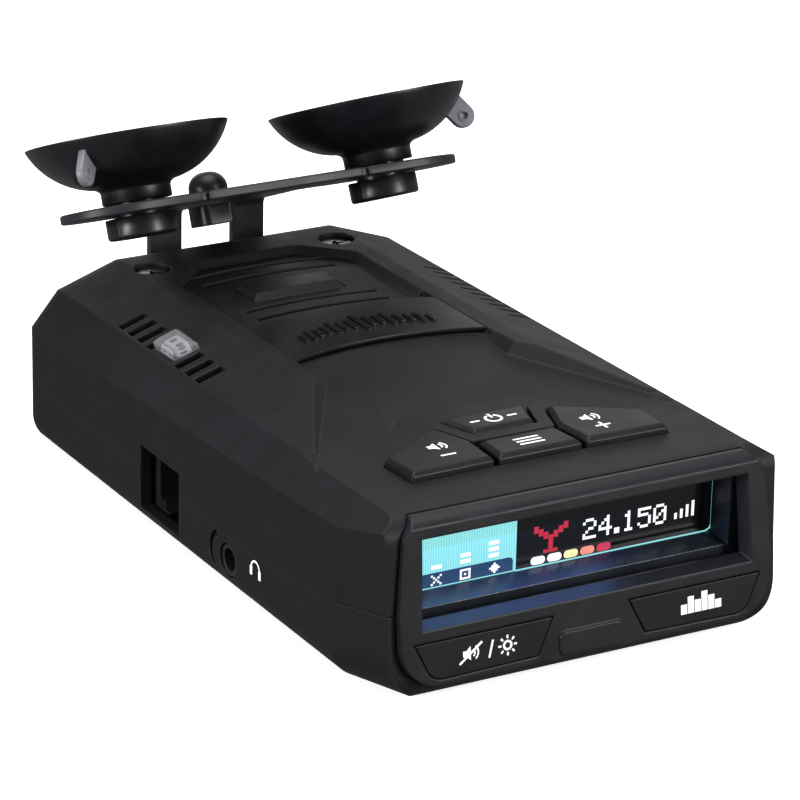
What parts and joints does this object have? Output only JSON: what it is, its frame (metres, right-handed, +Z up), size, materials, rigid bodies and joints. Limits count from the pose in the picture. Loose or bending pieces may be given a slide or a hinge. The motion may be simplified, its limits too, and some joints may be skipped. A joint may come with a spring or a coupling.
{
  "type": "radar detector",
  "caption": "Windscreen radar detector with a display, keypad, laser sensor lens, side sockets and a two-cup bracket.",
  "frame": {"origin": "middle of the flat underside of the casing", "axes": "+Z up, +Y towards the road and away from the driver, +X to the driver's right"},
  "size_m": [0.0781, 0.1281, 0.0592],
  "materials": {
    "case": "matt, finely textured",
    "badge": "satin",
    "keys": "satin",
    "inner_plastic": "satin",
    "jack": "satin",
    "display": "polished",
    "board": "solder mask",
    "chips": "satin",
    "ribbon": "satin",
    "contacts": "polished",
    "spring": "satin",
    "shield": "satin",
    "window": "polished",
    "lens": "polished",
    "cone": "matt",
    "bracket": "satin",
    "cup": "satin"
  },
  "bodies": {
    "housing": {"upper_case": "case", "lower_case": "case", "front_bezel": "case", "badge_plate": "badge", "release_spring": "spring", "display_surround": "inner_plastic", "display_panel": "display", "display_board": "board", "front_switches": "chips", "main_board": "board", "main_board_chips": "chips", "key_board": "board", "key_switches": "chips", "display_ribbon": "ribbon", "power_socket": "inner_plastic", "socket_contacts": "contacts", "audio_jack": "jack", "rf_shield": "shield", "antenna_horn": "shield", "road_laser_window": "window", "laser_receiver": "board", "laser_sensor_lens": "lens", "speaker_frame": "inner_plastic", "speaker_cone": "cone", "speaker_magnet": "shield", "bracket_guide": "inner_plastic", "top_screws": "spring", "bottom_screws": "spring"},
    "volume_down": {"volume_down_button": "keys"},
    "volume_up": {"volume_up_button": "keys"},
    "menu": {"menu_button": "keys"},
    "power": {"power_button": "keys"},
    "mute": {"mute_button": "keys"},
    "city": {"city_button": "keys"},
    "release": {"release_button": "keys"},
    "mount": {"mount_bracket": "bracket", "bracket_bumper": "cup"},
    "cup_left": {"suction_cup_left": "cup"},
    "cup_right": {"suction_cup_right": "cup"}
  },
  "joints": [
    {"name": "volume_down_press", "type": "slide", "parent": "housing", "child": "volume_down", "axis": [0, -0.0318, -0.9995], "range_m": [0, 0.0005], "stiffness_N_per_m": 900},
    {"name": "volume_up_press", "type": "slide", "parent": "housing", "child": "volume_up", "axis": [0, -0.0318, -0.9995], "range_m": [0, 0.0005], "stiffness_N_per_m": 900},
    {"name": "menu_press", "type": "slide", "parent": "housing", "child": "menu", "axis": [0, -0.0318, -0.9995], "range_m": [0, 0.0005], "stiffness_N_per_m": 900},
    {"name": "power_press", "type": "slide", "parent": "housing", "child": "power", "axis": [0, -0.0318, -0.9995], "range_m": [0, 0.0005], "stiffness_N_per_m": 900},
    {"name": "mute_press", "type": "slide", "parent": "housing", "child": "mute", "axis": [0, 0.9934, -0.1149], "range_m": [0, 0.0005], "stiffness_N_per_m": 900},
    {"name": "city_press", "type": "slide", "parent": "housing", "child": "city", "axis": [0, 0.9934, -0.1149], "range_m": [0, 0.0005], "stiffness_N_per_m": 900},
    {"name": "release_press", "type": "slide", "parent": "housing", "child": "release", "axis": [0, 0, -1], "range_m": [0, 0.0012], "stiffness_N_per_m": 600, "deforming": ["release_spring"]},
    {"name": "bracket_slide", "type": "slide", "parent": "housing", "child": "mount", "axis": [0, 1, 0], "range_m": [0, 0.012]},
    {"name": "left_cup_turn", "type": "hinge", "parent": "mount", "child": "cup_left", "pos_m": [-0.0221, 0.0441, 0.0418], "axis": [0, 0.3907, 0.9205], "continuous": true},
    {"name": "right_cup_turn", "type": "hinge", "parent": "mount", "child": "cup_right", "pos_m": [0.0221, 0.0441, 0.0418], "axis": [-0.0349, 0.3905, 0.9199], "continuous": true}
  ]
}
